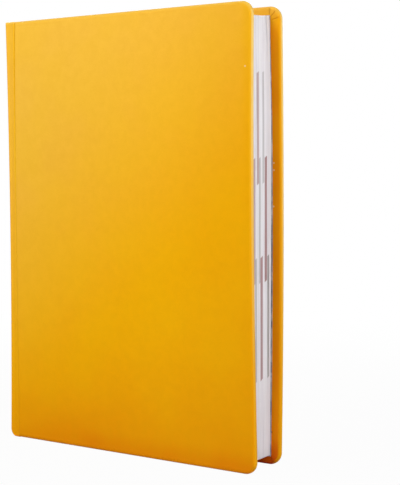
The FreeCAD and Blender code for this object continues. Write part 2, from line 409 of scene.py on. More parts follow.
def sag(edge, inset):
    """How far the turn-in is drawn down beside the corner at the head, where it shows."""
    if not edge.head or edge.kind == "end":
        return 0.0
    if edge.kind == "corner":
        share = ease(edge.value / (pi / 4) - 1)
    else:
        share = 1 - ease((HEIGHT - CORNER - edge.value) / SAG_REACH)
    showing = 1 - ease((inset - SAG_SHOWS) / SAG_FADE)
    return SAG_SLOPE * max(inset, 0.0) * share * showing


def profile(edge, skin):
    """(inset, share of the wall) from the face, round the outline, to the turn-in."""
    thick, radius = wall(edge.value) if edge.kind == "end" else (COVER, COVER_ROUND)
    foot = foot_share(edge)
    thick = mix(thick, FOOT_WALL, foot)
    radius = mix(radius, FOOT_ROUND, foot)
    first = mix(pi / 2, FOOT_ANGLE, foot)
    skin = min(skin, SKIN_SHARE * thick)
    face_end = lift(edge) + radius * (1 - cos(first))
    arc = max(radius - skin, LEAST_ARC)
    near_spine = 0.0
    if edge.kind == "end" and not edge.head:
        near_spine = 1 - ease((edge.value - 2) / 2)
    points = []
    for level in range(FACE_LEVELS + 1):
        turn = max(0, level - 1) / (FACE_LEVELS - 1) * (pi / 2 - FOOT_ANGLE)
        on_foot = max(0.0, (FOOT * (1 - sin(turn)) - FOOT_END) / (CORNER - FOOT_END))
        share = mix(1 - level / FACE_LEVELS, on_foot if level else 1.0, near_spine)
        points.append((mix(face_end, CORNER, share), skin / thick))
    arcs = [(angle, skin + arc * (sin(first) - sin(angle)))
            for angle in steps(first, 0, ARC_LEVELS)[1:]]
    arcs += [(angle, thick - skin - arc * (1 + sin(angle)))
             for angle in steps(0, -pi / 2, ARC_LEVELS)]
    for angle, depth in arcs:
        points.append((face_end - arc * (cos(angle) - cos(first)), depth / thick))
    for inset in INNER_INSETS:
        inset = max(inset * MM, lift(edge) + radius)
        points.append((inset, (thick - skin) / thick))
    return points


def outline(columns, heights):
    """Every place round one half of the case, from the middle of the spine at the tail,
    round the fore edge, to the middle of the spine at the head."""
    angles = steps(0, pi / 2, CORNER_STEPS)
    tail = [Edge("end", t) for t in columns]
    tail += [Edge("corner", angle) for angle in angles[1:-1]]
    fore = [Edge("fore", z, head=z > HEIGHT / 2) for z in heights]
    head = [Edge("corner", angle, head=True) for angle in reversed(angles[1:-1])]
    head += [Edge("end", t, head=True) for t in reversed(columns)]
    return tail + fore + head


def case_layer(side, columns, heights, edges, skin):
    """The points of one side of the leatherette, this deep in it, and their marks."""
    points = []
    marks = {"inside": [], "pleat": [], "from_edge": []}

    def add(point, inside, groove, from_edge):
        points.append(point)
        for values, value in zip(marks.values(), (inside, groove, from_edge)):
            values.append(value)

    for z in heights:
        for t in columns:
            thick, _ = wall(t)
            add(case_point(side, t, z, skin / thick), 0.0, 0.0, CORNER)
    profiles = [profile(edge, skin) for edge in edges]
    for level in range(len(profiles[0])):
        for edge, places in zip(edges, profiles):
            inset, share = places[level]
            if level == 0:
                inset = CORNER
            t, from_end = edge.at(inset)
            z = HEIGHT - from_end if edge.head else from_end
            z -= sag(edge, inset)
            groove, lip = pleat(edge, inset) if share > 0.5 else (0.0, 0.0)
            rise = LIP_HEIGHT * lip - GROOVE_DEPTH * groove
            add(case_point(side, t, z, share, rise), share, groove, inset)
    return points, marks


def make_case(side, material):
    """Half of the leatherette case: one cover, its crease, and half of the spine."""
    starts = [HINGE_X + offset * MM for offset in COVER_STARTS]
    even = steps(starts[-1], FORE_X - CORNER, 18)[1:]
    columns = STATIONS + [cover_station(x) for x in starts + even]
    near_corner = [HEIGHT - CORNER - under * MM for under in (2.8, 1.8, 1.1, 0.6, 0.25, 0)]
    heights = steps(CORNER, near_corner[0] - 1.2 * MM, 42) + near_corner
    edges = outline(columns, heights)
    outer, marks = case_layer(side, columns, heights, edges, 0.0)
    inner, _ = case_layer(side, columns, heights, edges, SKIN)
    on_face = len(heights) * len(columns)
    levels = (len(outer) - on_face) // len(edges)
    faces = grid_faces(len(heights), len(columns), side is BACK)
    faces += grid_faces(levels, len(edges), side is FRONT, on_face)
    return closed_sheet(side.name + "_case", outer, inner, faces, material, marks)


def bend_with(piece, side, slot, start, end, *nodes):
    """The piece stands for some CAD nodes, which are hidden, and its transform is applied to its
    mesh.
    """
    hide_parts(*nodes)
    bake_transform(piece)


def ride_on(piece, body, slot, *nodes):
    """The piece stands for some CAD nodes and moves with one body."""
    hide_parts(*nodes)
    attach(piece, body)


# ---- endpapers ----

BLOCK_X = block_low.x
LEAF_X = block_high.x
LEAF_LOW = block_low.z
LEAF_HIGH = block_high.z
TAIL_TRIM = 0.7 * MM  # the leaves stop short of their solid at the tail
HEAD_TRIM_FRONT = 1.2 * MM  # and at the head, more so towards the front
HEAD_TRIM_BACK = 0.2 * MM
FORE_FALL = 0.7 * MM  # the trimmed fore edge falls back this much at the head
FALL_LOW = 150 * MM
FALL_HIGH = 212 * MM
FAN_DEPTH = 7.0 * MM  # leaves this near a cover lean out towards it
FAN_FRONT = 0.35  # by this share of how far the cover stands out
FAN_BACK = (0.30, 0.95)  # and at the back by these, at the tail and at the head
STEP_WIDTH = 1.4 * MM  # of the turn-in's step under the paper
STEP_OUTSIDE = 0.5 * MM
BOARD_SUNK = 0.4 * MM  # the paper over the bare board
PASTED = (0.17, 0.1)  # mm: its thickness, less this down the board's end
FREE = (0.18, 0.16, 0.3)  # mm: on the leaves, down their shoulder and on the joint
FLYLEAF_DEPTH = 3.55 * MM
JOINT_PARTING = 0.85 * MM  # the two halves meet this far from the hinge
JOINT_LAP = 0.15 * MM  # and the free one lies this much over the pasted one


def over_fold(from_edge):
    """1 over the turned-in leatherette, 0 on the bare board, and a soft step between."""
    return 1 - ease((from_edge - TURN_IN + STEP_OUTSIDE) / STEP_WIDTH)


def paper_depth(x, z):
    """The face of the pasted endpaper, which shows the step of the turn-in under it."""
    nearest = min(FORE_X - x, z, HEIGHT - z)
    return mix(COVER - BOARD_SUNK, COVER + PAPER, over_fold(nearest))


def joint_depth(x, z):
    """The endpaper's face along the joint, on the leatherette or on its turn-in."""
    on_leatherette = crease_depth(x, z) + SKIN + PAPER
    return mix(on_leatherette, FLANK + PAPER, over_fold(min(z, HEIGHT - z)))


def fore_trim(z):
    """How far the trimmed fore edge falls back towards the head."""
    return FORE_FALL * ease((z - FALL_LOW) / (FALL_HIGH - FALL_LOW))


def head_trim(y):
    """How far the leaves at a y stop short of their solid at the head."""
    share = min(1.0, max(0.0, (y - block_low.y) / (block_high.y - block_low.y)))
    return mix(HEAD_TRIM_FRONT, HEAD_TRIM_BACK, share ** 2.5)


def block_face(side):
    return block_low.y if side is FRONT else block_high.y


def fan(y, x, z):
    """How far the leaves near a cover lean out after it, in Y."""
    side = FRONT if y < MIDDLE_Y else BACK
    face = block_face(side)
    nearness = ease(1 - abs(face - y) / FAN_DEPTH)
    share = FAN_FRONT if side is FRONT else mix(*FAN_BACK, (z / HEIGHT) ** 1.4)
    return side.facing * share * nearness * side.stand_out(x, z)


def paper_heights():
    """Heights of the endpaper's rows, close together over the step of the turn-in."""
    near_end = [over * MM for over in (0, 3, 6, 8.4, 9.0, 9.3, 9.6, 9.9, 10.3, 11, 13)]
    middle = steps(LEAF_LOW + 18 * MM, LEAF_HIGH - 18 * MM, 30)
    tail = [LEAF_LOW + over for over in near_end]
    head = [LEAF_HIGH - over for over in reversed(near_end)]
    return tail + middle + head


# Down the end of the board: mm from the hinge, and 1 on the board to 0 on the joint.
BOARD_END = ((0.1, 1.0), (-0.03, 0.96), (-0.09, 0.86), (-0.12, 0.7), (-0.13, 0.45),
             (-0.14, 0.22), (-0.18, 0.09), (-0.27, 0.02), (-0.4, 0.0), (-0.55, 0.0), (-0.7, 0.0))
# Down the shoulder of the leaves: mm from their back, and mm under the cover's face.
SHOULDER = ((0.35, 3.54), (0.12, 3.48), (-0.02, 3.34), (-0.07, 3.1), (-0.08, 2.4), (-0.08, 1.8))
# Round onto the joint: mm from the back of the leaves, and how much it lies on the joint.
ONTO_JOINT = ((-0.07, 0.5), (0.0, 0.9), (0.15, 1.0), (0.4, 1.0))
ONTO_JOINT_DEPTH = 1.9 * MM


def make_pastedown(side, material):
    """The endpaper's pasted half: over the inside of the cover, down the end of the board,
    and along the joint."""
    fore = [LEAF_X - over * MM for over in (0, 3, 6, 8, 8.8, 9.1, 9.4, 9.7, 10.1, 11, 13)]
    over_board = fore + steps(LEAF_X - 20 * MM, HINGE_X + 3 * MM, 16) + [HINGE_X + 0.5 * MM]
    path = [(x, 1.0) for x in over_board]
    path += [(HINGE_X + x * MM, share) for x, share in BOARD_END]
    path.append((HINGE_X - JOINT_PARTING, 0.0))
    thick, thinned = PASTED
    upper = []
    under = []
    laid_flat = []
    for z in paper_heights():
        for x, share in path:
            laid_flat.append(x)
            x = min(x, LEAF_X - fore_trim(z))
            depth = mix(joint_depth(x, z), paper_depth(x, z), share)
            on_wall = 1 - abs(2 * share - 1)
            out = side.stand_out(x, z)
            upper.append(side.place(x, depth - out, z))
            under_depth = depth - (thick - thinned * on_wall) * MM
            under.append(side.place(x + thinned * MM * on_wall, under_depth - out, z))
    faces = grid_faces(len(paper_heights()), len(path), side is BACK)
    return closed_sheet(side.name + "_pasted_endpaper", upper, under, faces, material,
                        {"laid_flat": laid_flat})


def make_flyleaf(side, material):
    """The endpaper's free half, with its fold down the shoulder of the leaves."""
    path = [(x, FLYLEAF_DEPTH, 0.0) for x in steps(LEAF_X, BLOCK_X + 0.8 * MM, 24)]
    path += [(BLOCK_X + x * MM, depth * MM, 0.0) for x, depth in SHOULDER]
    path += [(BLOCK_X + x * MM, ONTO_JOINT_DEPTH, share) for x, share in ONTO_JOINT]
    path.append((HINGE_X - JOINT_PARTING, ONTO_JOINT_DEPTH, 1.0))
    face = block_face(side)
    thick, on_shoulder, on_joint = FREE
    upper = []
    under = []
    laid_flat = []
    for height in paper_heights():
        share_up = (height - LEAF_LOW) / (LEAF_HIGH - LEAF_LOW)
        z = mix(LEAF_LOW + TAIL_TRIM, LEAF_HIGH - head_trim(face), share_up)
        for x, depth, share in path:
            laid_flat.append(2 * HINGE_X - x)
            x = min(x, LEAF_X - fore_trim(z))
            depth = mix(depth, joint_depth(x, height) + JOINT_LAP, share)
            on_wall = ease((FLYLEAF_DEPTH - depth) / (0.4 * MM)) * (1 - share)
            lean = Vector((0, fan(face, x, z), 0))
            upper.append(side.place(x, depth, z) + lean)
            under_depth = depth + (thick * (1 - on_wall) - on_joint * share) * MM
            under.append(side.place(x + on_shoulder * MM * on_wall, under_depth, z) + lean)
    faces = grid_faces(len(paper_heights()), len(path), side is FRONT)
    return closed_sheet(side.name + "_free_endpaper", upper, under, faces, material,
                        {"laid_flat": laid_flat})


# ---- leaves ----

# Two leaves stand apart at the head, and their neighbours with them.
GAP_Y = 7.0 * MM
GAP_LOW = 191 * MM
GAP_HALF = 0.42 * MM
GAP_DEEP = 3.5 * MM
GAP_REACH = 3.0 * MM
GAP_CURL_LOW = 203 * MM  # above this they curl forward
GAP_CURL = 1.1 * MM
RIDGES = 86
RIDGE_WIDTHS = (0.6, 1.4)  # in proportion
RIDGE_SLOPE = 0.22  # of its width, on each side
RIDGE_VALLEY = 0.11 * MM
RIDGE_STAGGER = 0.10 * MM  # the ridges' edges don't quite line up
RIDGE_WAVE = 0.035 * MM
RIDGE_TURNS = (19, 7.3)  # radians over the height

# Round the leaves, as shares of X and Z: tail, fore edge, head, back.
ROUND_LEAVES = (
    [(x, 0.0) for x in steps(0, 1, 12)[:-1]] + [(1.0, z) for z in steps(0, 1, 44)[:-1]]
    + [(x, 1.0) for x in steps(1, 0, 12)[:-1]] + [(0.0, 1.0), (0.0, 0.5)]
)


def leaf_row(y, gap_y, trim, phase, split=False):
    """Points round the leaves at a y, trimmed back at the fore edge, head and tail. They
    are sunk where two leaves split apart."""
    fore, head, tail = trim
    near = max(0.0, 1 - abs(y - gap_y) / GAP_REACH)
    pushed = copysign(GAP_HALF, y - gap_y) * near * (1 - split)
    row = []
    for x_share, z_share in ROUND_LEAVES:
        z_here = mix(LEAF_LOW, LEAF_HIGH, z_share)
        open_share = ease((z_here - GAP_LOW) / (LEAF_HIGH - GAP_LOW)) ** 0.5
        sunk = split * open_share * GAP_DEEP
        uneven = RIDGE_WAVE
        for turns in RIDGE_TURNS:
            uneven *= sin(z_share * turns + phase)
        x = mix(BLOCK_X, LEAF_X - fore_trim(z_here) - fore - uneven - sunk, x_share)
        z = mix(LEAF_LOW + TAIL_TRIM + tail, LEAF_HIGH - head_trim(y) - head - sunk, z_share)
        curled = ease((z_here - GAP_CURL_LOW) / (LEAF_HIGH - GAP_CURL_LOW))
        aside = (pushed * open_share - GAP_CURL * near * curled) * x_share
        row.append(Vector((x, y + fan(y, x, z) + aside, z)))
    return row


def make_leaves(material):
    """The sewn leaves: a block whose trimmed edges are ridged by slightly uneven leaves."""
    draw = random.Random(11)
    widths = [draw.uniform(*RIDGE_WIDTHS) for _ in range(RIDGES)]
    scale = (block_high.y - block_low.y) / sum(widths)
    bounds = [block_low.y]
    for width in widths:
        bounds.append(bounds[-1] + width * scale)
    gap_y = min(bounds, key=lambda y: abs(y - GAP_Y))
    points = []
    for start, end in zip(bounds, bounds[1:]):
        phase = draw.uniform(0, 6.3)
        trim = [draw.uniform(0.0, RIDGE_STAGGER) for _ in range(3)]
        slope = RIDGE_SLOPE * (end - start)
        valley = [value + RIDGE_VALLEY for value in trim]
        points += leaf_row(start, gap_y, valley, phase, start == gap_y)
        points += leaf_row(start + slope, gap_y, trim, phase)
        points += leaf_row(end - slope, gap_y, trim, phase)
    points += leaf_row(bounds[-1], gap_y, [RIDGE_STAGGER] * 3, 0.0)
    count = len(ROUND_LEAVES)
    last = len(points) - count
    faces = []
    for first in range(0, last, count):
        for i in range(count):
            a = first + i
            b = first + (i + 1) % count
            faces.append([a, a + count, b + count, b])
    ends = [list(range(count)), list(reversed(range(last, len(points))))]
    return new_piece("leaves", points, faces + ends, material)


# ---- head and tail bands ----

BEAD_RADIUS = 0.8 * MM
BEAD_WALL = 0.25 * MM
BEAD_TURNS = 26  # of thread
ROWS_PER_TURN = 6
BEAD_AROUND = range(-70, 231, 20)  # degrees
THREAD_DEPTH = 0.10 * MM
RIB_DEPTH = 0.05 * MM
TAPE_LEVELS = 8
TAPE_FACE = 0.08 * MM
TAPE_BACK = 0.40 * MM


def make_band(name, node, outward, material):
    """A corded band: a bead wound with thread, and the tape that holds it to the leaves."""
    low_corner, high_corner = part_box(node)
    left = low_corner.x
    bead_x = left + BEAD_RADIUS
    bead_z = LEAF_HIGH + BEAD_RADIUS if outward > 0 else LEAF_LOW - BEAD_RADIUS
    tape_z = low_corner.z if outward > 0 else high_corner.z
    rows = BEAD_TURNS * ROWS_PER_TURN
    around = [radians(angle) for angle in BEAD_AROUND]
    upper = []
    under = []
    for row in range(rows + 1):
        share = row / rows
        wound = share * BEAD_TURNS * pi
        y = mix(low_corner.y, high_corner.y, share)
        end = min(1.0, sqrt(min(share, 1 - share) * BEAD_TURNS) + 0.35)
        for angle in around:
            sunk = THREAD_DEPTH * (1 - abs(sin(wound + angle * 0.5)))
            outer = (BEAD_RADIUS - sunk) * end
            for points, reach in ((upper, outer), (under, outer - BEAD_WALL)):
                points.append(Vector((bead_x + reach * cos(angle), y,
                                      bead_z + outward * reach * sin(angle))))
        rib = RIB_DEPTH * abs(sin(wound))
        for level in range(1, TAPE_LEVELS + 1):
            z = mix(bead_z - outward * BEAD_RADIUS * 0.7, tape_z, level / TAPE_LEVELS)
            upper.append(Vector((left + TAPE_FACE - rib, y, z)))
            under.append(Vector((left + TAPE_BACK, y, z)))
    faces = grid_faces(rows + 1, len(around) + TAPE_LEVELS, outward > 0)
    return closed_sheet(name, upper, under, faces, material)


# ---- materials ----

def srgb(red, green, blue):
    """A colour written as 0 to 255 display values, made linear."""
    linear = []
    for value in (red, green, blue):
        value /= 255
        linear.append(value / 12.92 if value <= 0.04045 else ((value + 0.055) / 1.055) ** 2.4)
    return (*linear, 1.0)


def empty_tree(owner):
    """The node tree of a material or a world, with nothing in it."""
    owner.use_nodes = True
    owner.node_tree.nodes.clear()
    return owner.node_tree


def add_node(tree, kind, inputs=(), **settings):
    """A node, with its settings and what goes into it: a number, colour or socket."""
    node = tree.nodes.new(kind)
    for name, value in settings.items():
        setattr(node, name, value)
    for name, value in dict(inputs).items():
        if isinstance(value, bpy.types.NodeSocket):
            tree.links.new(value, node.inputs[name])
        else:
            node.inputs[name].default_value = value
    return node


def arithmetic(tree, operation, *values):
    return add_node(tree, "ShaderNodeMath", enumerate(values), operation=operation).outputs[0]


def smooth_range(tree, value, start, end, low, high):
    """Value taken smoothly from start..end to low..high."""
    return add_node(tree, "ShaderNodeMapRange", {
        "Value": value, "From Min": start, "From Max": end, "To Min": low, "To Max": high},
        interpolation_type="SMOOTHSTEP").outputs[0]


class Look:
    """A material of procedural patterns, on the rest shape that the mesh stores, or on object
    coordinates.
    """

    def __init__(self, name, on_rest_shape, specular, sheen=0.0):
        self.material = bpy.data.materials.new(name)
        self.tree = empty_tree(self.material)
        self.surface = self.add("ShaderNodeBsdfPrincipled", {
            "Specular IOR Level": specular, "Sheen Weight": sheen})
        self.add("ShaderNodeOutputMaterial", {"Surface": self.surface.outputs[0]})
        if on_rest_shape:
            self.place = self.add("ShaderNodeAttribute", attribute_name="rest").outputs["Vector"]
        else:
            self.place = self.add("ShaderNodeTexCoord").outputs["Object"]

    def add(self, kind, inputs=(), **settings):
        return add_node(self.tree, kind, inputs, **settings)

    def calc(self, operation, *values):
        return arithmetic(self.tree, operation, *values)

    def times(self, first, second):
        return self.calc("MULTIPLY", first, second)

    def stretched(self, scale):
        """Coordinates in units of a pattern, with its own scale along each axis."""
        return self.add("ShaderNodeMapping", {"Vector": self.place, "Scale": scale}).outputs[0]

    def noise(self, size, detail, rough, stretch=(1, 1, 1), distortion=0.0):
        """Smooth noise from 0 to 1, with features of about this size in metres."""
        scale = tuple(1 / (size * value) for value in stretch)
        node = self.add("ShaderNodeTexNoise", {
            "Vector": self.stretched(scale), "Scale": 1.0, "Detail": detail,
            "Roughness": rough, "Distortion": distortion})
        return node.outputs[0]

    def remap(self, value, start, end, low=0.0, high=1.0):
        return smooth_range(self.tree, value, start, end, low, high)

    def axes(self):
        """The x, y and z of the place."""
        return self.add("ShaderNodeSeparateXYZ", {0: self.place}).outputs

    def mark(self, name):
        """A value that the mesh carries at every point."""
        return self.add("ShaderNodeAttribute", attribute_name=name).outputs["Fac"]

    def blend(self, share, first, second):
        """The colour that lies this share of the way from the first to the second."""
        inputs = {0: share, 6: first, 7: second}  # the sockets for colours
        return self.add("ShaderNodeMix", inputs, data_type="RGBA").outputs[2]

    def wash(self, colour, tone, value, start, end, low=0.0, high=1.0):
        """The colour, with a tone over it by a share that goes from low to high."""
        return self.blend(self.remap(value, start, end, low, high), colour, tone)

    def spot(self, place, radius):
        """1 at a place and 0 beyond a radius from it."""
        apart = self.add("ShaderNodeVectorMath", {0: self.place, 1: place},
                         operation="DISTANCE").outputs["Value"]
        return self.remap(apart, radius, radius * 0.4)

    def finish(self, colour, roughness, height, distance):
        """Colour, roughness and the height of the relief, in metres."""
        bump = self.add("ShaderNodeBump", {"Height": height, "Distance": distance})
        for name, value in (("Base Color", colour), ("Roughness", roughness),
                            ("Normal", bump.outputs[0])):
            self.tree.links.new(value, self.surface.inputs[name])
        return self.material


def outside_tone(look, painted_head_light, painted_tail_shade):
    """The leatherette's outside, with light and shade painted in: paler to the head and the spine
    side where more light falls, and deeper in painted shade to the tail, the fore edge, beside the
    spine, along the crease and at the tail's edge.
    """
    x, _, z = look.axes()
    colour = look.blend(painted_head_light, srgb(250, 179, 3), srgb(246, 191, 68))
    # painted shade: deeper towards the fore edge, further from the key light
    deeper = look.blend(painted_head_light, srgb(243, 169, 2), srgb(234, 181, 68))
    colour = look.wash(colour, deeper, x, 20 * MM, 70 * MM, 0.0, 0.75)
    # painted shade: a deeper band just inside the fore edge's rounding
    deepest = look.blend(painted_head_light, srgb(243, 169, 2), srgb(233, 176, 42))
    colour = look.wash(colour, deepest, x, FORE_X - 6.5 * MM, FORE_X - 1.5 * MM)
    colour = look.blend(painted_tail_shade, colour, srgb(236, 140, 1))
    # painted shade: the flank beside the spine a little deeper
    beside_spine = (HINGE_X - 0.2 * MM, HINGE_X - 0.6 * MM)
    colour = look.wash(colour, srgb(240, 165, 4), x, *beside_spine, 0.0, 0.25)
    colour = painted_crease_shade(look, colour)
    # painted shade: deeper orange along the tail's edge, near the floor
    tail_edge_shade = look.times(look.remap(z, 12 * MM, 0.5 * MM, 0.0, 0.7),
                         look.remap(x, -45 * MM, -5 * MM))
    return look.blend(tail_edge_shade, colour, srgb(230, 122, 2))


def painted_crease_shade(look, colour):
    """The colour, deeper and purer along the pressed crease as painted shade in its groove, most so
    towards the head.
    """
    x, _, z = look.axes()
    up = look.calc("MAXIMUM", look.times(z, 1 / HEIGHT), 0.0)
    leaned = look.calc("POWER", up, float(CREASE_LEAN))
    crease_x = look.calc("MULTIPLY_ADD", leaned, CREASE_HEAD_X - CREASE_TAIL_X, CREASE_TAIL_X)
    from_crease = look.calc("ABSOLUTE", look.calc("SUBTRACT", x, crease_x))
    crease_shade_share = look.times(look.remap(from_crease, 0.85 * MM, 0.1 * MM),
                         look.remap(z, 70 * MM, 190 * MM, 0.12, 0.82))
    return look.blend(crease_shade_share, colour, srgb(240, 186, 2))


def inside_tone(look, painted_head_light, painted_tail_shade):
    """The turn-in, a shaded copy of the leatherette: more orange in painted shade and bounce light,
    nearly red in painted shadow at the tail, and yellow with painted light at the head.
    """
    x, _, z = look.axes()
    # painted shade and bounce light: the turn-in more orange than the outside
    colour = look.blend(painted_head_light, srgb(243, 140, 4), srgb(234, 154, 10))
    # painted shade and bounce light: more orange beside the leaves
    beside_leaves = (FORE_X - 1.8 * MM, FORE_X - 4.3 * MM)
    colour = look.wash(colour, srgb(248, 137, 8), x, *beside_leaves, 0.0, 0.6)
    colour = look.blend(painted_tail_shade, colour, srgb(252, 114, 3))
    # painted shadow: nearly red at the tail, under the leaves
    painted_red_shadow = look.times(look.remap(z, 15 * MM, 2 * MM),
                          look.remap(x, FORE_X, FORE_X - 6 * MM, 0.55, 1.0))
    colour = look.blend(painted_red_shadow, colour, srgb(216, 46, 10))
    # painted light: paler yellow at the head, where light reaches over the leaves
    colour = look.wash(colour, srgb(228, 157, 18), z, 202 * MM, 210 * MM)
    return look.wash(colour, srgb(231, 170, 56), z, 208 * MM, 213.5 * MM)


def edge_tone(look, turned_in):
    """The covers' rounded edges: a painted highlight pale along the crest, most so towards the
    head, with painted shade beside it and on the inner side.
    """
    x, _, z = look.axes()
    upward = look.remap(z, 10 * MM, 190 * MM)
    # painted shade in the outer band, and a painted highlight on the crest that grows towards the
    # head
    outer = look.blend(upward, srgb(229, 150, 2), srgb(228, 166, 20))
    crest = look.blend(upward, srgb(229, 165, 22), srgb(246, 208, 116))
    # painted shade: the rim's inner side deeper
    inner = look.blend(upward, srgb(219, 146, 3), srgb(232, 160, 5))
    at_head = look.remap(z, HEIGHT - 6 * MM, HEIGHT - 1.5 * MM)
    colour = look.wash(outer, crest, turned_in, 0.08, 0.3)
    # painted light: the head's rounded edges paler where lit from above, greyer over the covers
    lit_head_tone = look.wash(srgb(240, 190, 80), srgb(216, 171, 64),
                          x, HINGE_X - 0.5 * MM, HINGE_X + 0.5 * MM)
    colour = look.blend(at_head, colour, lit_head_tone)
    # painted shade: deeper orange along the tail's edge
    colour = look.wash(colour, srgb(250, 153, 8), z, 3.2 * MM, 1.2 * MM)
    # painted light: the inner side paler at the head as well
    inner = look.blend(at_head, inner, srgb(216, 164, 60))
    # painted shadow: red on the turn-in under the leaves at the tail
    under_leaves = look.times(look.remap(z, 7 * MM, 1.5 * MM),
                              look.remap(x, FORE_X - 1.5 * MM, FORE_X - 5 * MM))
    inner = look.blend(under_leaves, inner, srgb(206, 52, 8))
    return look.wash(colour, inner, turned_in, 0.6, 0.85)


SPECK_RADIUS = 0.6 * MM
PALE_SPECK = (244, 226, 180)
DARK_SPECK = (52, 26, 18)
# Each speck's cover, x in mm, depth in the cover, height in mm and colour.
SPECKS = ((BACK, 71.3, COVER, 142.7, PALE_SPECK), (BACK, 71.3, COVER, 139.4, PALE_SPECK),
          (BACK, 71.1, COVER, 122.4, PALE_SPECK), (BACK, 70.8, COVER, 15.7, DARK_SPECK),
          (FRONT, 72.1, 0.0, 185.9, PALE_SPECK))


def speckled(look, colour):
    """The colour, with the small marks on the covers."""
    for side, x, depth, z, tone in SPECKS:
        x *= MM
        z *= MM
        place = side.place(x, depth - side.stand_out(x, z), z)
        mark = look.times(look.spot(place, SPECK_RADIUS), 0.6)
        colour = look.blend(mark, colour, srgb(*tone))
    return colour


def leatherette_material():
    """Soft matt leatherette: a fine grain, faint mottling, light and shade painted over the covers,
    and a painted highlight along the edges, which are also a little smoother.
    """
    look = Look("leatherette", True, specular=0.05)
    grain = look.noise(0.5 * MM, 3, 0.6)
    pores = look.add("ShaderNodeTexVoronoi", {
        "Vector": look.stretched((1 / (0.9 * MM),) * 3), "Scale": 1.0}).outputs["Distance"]
    mottle = look.noise(4.5 * MM, 3, 0.6)
    cloud = look.noise(30 * MM, 2, 0.5)
    x, _, z = look.axes()
    # painted light: paler towards the head and the spine side, where more light falls
    painted_head_light = look.remap(look.calc("ADD", z, look.times(x, -0.8)), 60 * MM, 245 * MM)
    # painted shade: deeper orange towards the tail, where less light falls
    low_down = look.calc("MULTIPLY_ADD", z, -1 / (100 * MM), 1.0)
    painted_tail_shade = look.calc("POWER", look.calc("MAXIMUM", low_down, 0.0), 3.2)
    turned_in = look.mark("inside")
    colour = look.blend(look.remap(turned_in, 0.6, 1.0, 0.0, 0.9),
                        outside_tone(look, painted_head_light, painted_tail_shade),
                        inside_tone(look, painted_head_light, painted_tail_shade))
    # painted shade: the pleats' grooves darker
    colour = look.blend(look.times(look.mark("pleat"), 0.55), colour, srgb(160, 84, 4))
    colour = look.wash(colour, srgb(214, 148, 4), mottle, 0.25, 0.75, 0.14, 0.0)
    colour = look.wash(colour, srgb(218, 150, 3), grain, 0.3, 0.7, 0.0, 0.12)
    colour = look.wash(colour, srgb(246, 196, 4), cloud, 0.3, 0.7, 0.0, 0.15)
    # painted highlight along the rounded edges, where the roughness is also a little lower
    at_edge = look.remap(look.mark("from_edge"), 1.5 * MM, 0.4 * MM)
    painted_highlight_and_wear = look.times(at_edge, look.remap(mottle, 0.3, 0.6, 0.8, 1.0))
    colour = look.blend(painted_highlight_and_wear, colour, edge_tone(look, turned_in))
    colour = speckled(look, colour)
    height = look.calc("ADD", look.times(grain, 0.6), look.times(pores, 0.4))
    height = look.calc("ADD", height, look.times(mottle, 0.8))
    roughness = look.calc("ADD", look.remap(grain, 0.3, 0.7, 0.50, 0.60),
                          look.times(painted_highlight_and_wear, -0.08))
    return look.finish(colour, roughness, height, 0.05 * MM)


def endpaper_material():
    """Pale paper, printed with loose cool-grey clouds that run on over its fold."""
    look = Look("endpaper", True, specular=0.25)
    _, y, z = look.axes()
    look.place = look.add("ShaderNodeCombineXYZ", {
        "X": look.mark("laid_flat"), "Y": y, "Z": z}).outputs[0]
    cloud = look.noise(11 * MM, 5, 0.65, distortion=0.6)
    patch = look.noise(26 * MM, 3, 0.5)
    fibre = look.noise(0.35 * MM, 3, 0.6)
    colour = look.wash(srgb(208, 209, 213), srgb(128, 134, 156), cloud, 0.38, 0.62)
    colour = look.wash(colour, srgb(166, 152, 170), patch, 0.48, 0.66, 0.0, 0.6)
    colour = look.wash(colour, srgb(228, 228, 226), fibre, 0.35, 0.7, 0.0, 0.18)
    return look.finish(colour, look.remap(fibre, 0.3, 0.7, 0.62, 0.78), fibre, 0.02 * MM)


TAB_INK = (0.5, 0.6, 0.58, 0.62, 0.56, 0.85, 0.5, 0.92, 1.0)  # from the front leaf back
TAB_FRONT_Y = -6.15 * MM
TAB_PITCH = 1.6 * MM
TAB_EXTRA = 0.6 * MM  # the last two stand further apart
TAB_GREY = (0.88 * MM, (156, 152, 150))  # half the width, and the colour
TAB_RED = (1.12 * MM, (158, 104, 104))
TAB_SLANT = -0.5
TAB_RISE = 0.17 * MM  # each bar ends a little higher than the one before it
TAB_LEAN = 0.8 * MM  # the leaves lean back towards the head
# The top and bottom of each of the three rows, below the head of the leaves.
TAB_ENDS = ((27 * MM, 78.8 * MM), (66.1 * MM, 124.6 * MM), (112.1 * MM, 170.2 * MM))
TAB_EDGE = 0.7 * MM  # their ends are this soft


def index_bars(look, colour, single):
    """The colour, with the bars printed over the fore edge, broken up leaf by leaf."""
    x, y, z = look.axes()
    on_fore_edge = look.remap(x, LEAF_X - 2.0 * MM, LEAF_X - 1.8 * MM)
    leaning = look.remap(z, FALL_LOW, FALL_HIGH, 0.0, TAB_LEAN)
    for number, inked in enumerate(TAB_INK):
        half, ink = TAB_RED if number % 2 else TAB_GREY
        top, bottom = TAB_ENDS[number % 3]
        middle = TAB_FRONT_Y + TAB_PITCH * number + TAB_EXTRA * max(0, number - 6)
        across = look.calc("SUBTRACT", look.calc("SUBTRACT", y, middle), leaning)
        level = look.calc("ADD", z, look.times(across, TAB_SLANT))
        mask = look.remap(look.calc("ABSOLUTE", across), half, half * 0.8)
        for below, inward in ((top, -1), (bottom, 1)):
            end = LEAF_HIGH - below + TAB_RISE * number
            mask = look.times(mask, look.remap(level, end, end + inward * TAB_EDGE))
        mask = look.times(mask, on_fore_edge)
        strength = look.times(mask, look.remap(single, 0.25, 0.6, 0.6 * inked, inked))
        colour = look.blend(strength, colour, srgb(*ink))
    return colour


